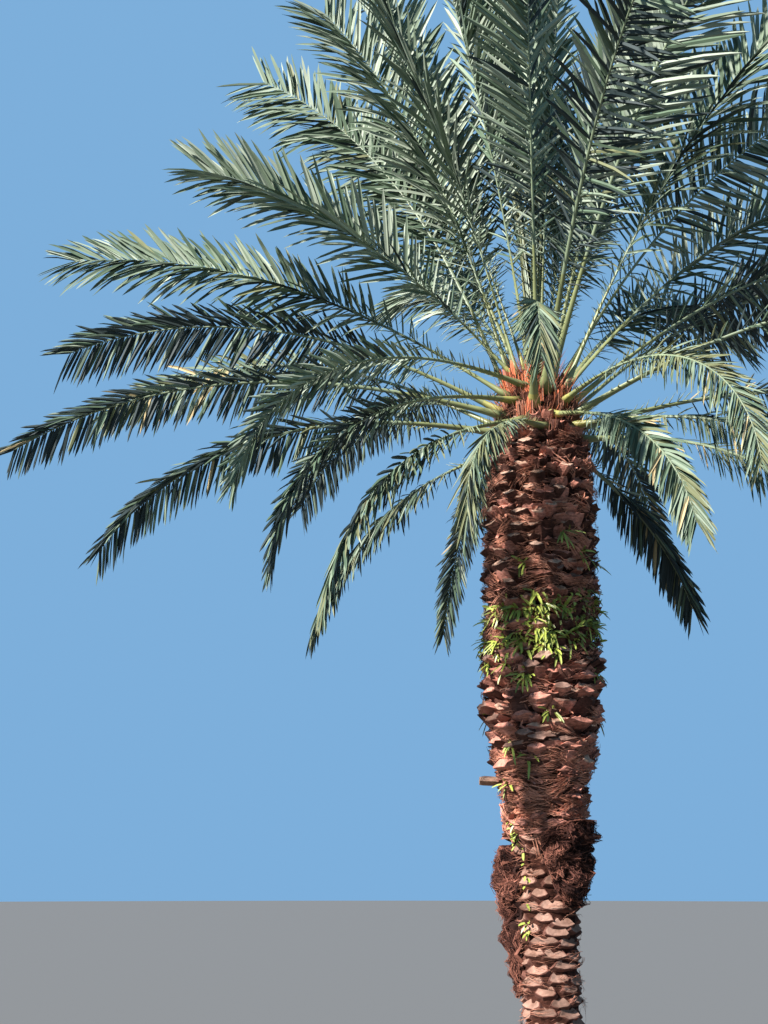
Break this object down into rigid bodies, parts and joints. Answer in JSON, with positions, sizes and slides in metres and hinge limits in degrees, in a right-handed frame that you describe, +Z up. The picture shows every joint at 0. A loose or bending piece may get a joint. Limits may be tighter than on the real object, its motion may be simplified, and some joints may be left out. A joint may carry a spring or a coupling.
{
  "type": "date palm tree",
  "caption": "Rooted date palm tree: a trunk shagged with old leaf bases above a trimmed foot, under a round crown of arching feather fronds.",
  "frame": {"origin": "middle of the flat cut under the trunk, at ground level", "axes": "+Z up along the trunk, +X to the right and +Y away from the viewer of the picture"},
  "size_m": [7.623, 7.8574, 8.9093],
  "materials": {
    "trunk_bark": "shaggy, matt, red-brown leaf bases and fibre",
    "root_mat": "matted dark roots and fibre, matt",
    "cut_wood": "pale cut leaf stalk, matt",
    "frond_leaf": "grey-green waxy leaflets, slight sheen",
    "spear_leaf": "young yellow-green closed leaves, slight sheen"
  },
  "bodies": {
    "root": {"cut_stalk": "cut_wood", "frond_01": "frond_leaf", "frond_01_tip": "frond_leaf", "frond_02": "frond_leaf", "frond_03": "frond_leaf", "frond_03_tip": "frond_leaf", "frond_04": "frond_leaf", "frond_05": "frond_leaf", "frond_06": "frond_leaf", "frond_07": "frond_leaf", "frond_08": "frond_leaf", "frond_09": "frond_leaf", "frond_10": "frond_leaf", "frond_11": "frond_leaf", "frond_12": "frond_leaf", "frond_13": "frond_leaf", "frond_14": "frond_leaf", "frond_15": "frond_leaf", "frond_16": "frond_leaf", "frond_16_tip": "frond_leaf", "frond_17": "frond_leaf", "frond_18": "frond_leaf", "frond_19": "frond_leaf", "frond_19_tip": "frond_leaf", "frond_20": "frond_leaf", "frond_21": "frond_leaf", "frond_21_tip": "frond_leaf", "frond_22": "frond_leaf", "frond_23": "frond_leaf", "frond_24": "frond_leaf", "frond_25": "frond_leaf", "frond_26": "frond_leaf", "frond_27": "frond_leaf", "frond_28": "frond_leaf", "frond_29": "frond_leaf", "frond_29_tip": "frond_leaf", "frond_30": "frond_leaf", "frond_31": "frond_leaf", "frond_32": "frond_leaf", "frond_33": "frond_leaf", "frond_34": "frond_leaf", "frond_35": "frond_leaf", "frond_36": "frond_leaf", "frond_37": "frond_leaf", "frond_38": "frond_leaf", "frond_39": "frond_leaf", "frond_40": "frond_leaf", "frond_41": "frond_leaf", "frond_42": "frond_leaf", "frond_43": "frond_leaf", "frond_44": "frond_leaf", "frond_45": "frond_leaf", "frond_46": "frond_leaf", "root_mat_left": "root_mat", "root_mat_right": "root_mat", "spear_leaves": "spear_leaf", "trunk": "trunk_bark"}
  },
  "joints": []
}
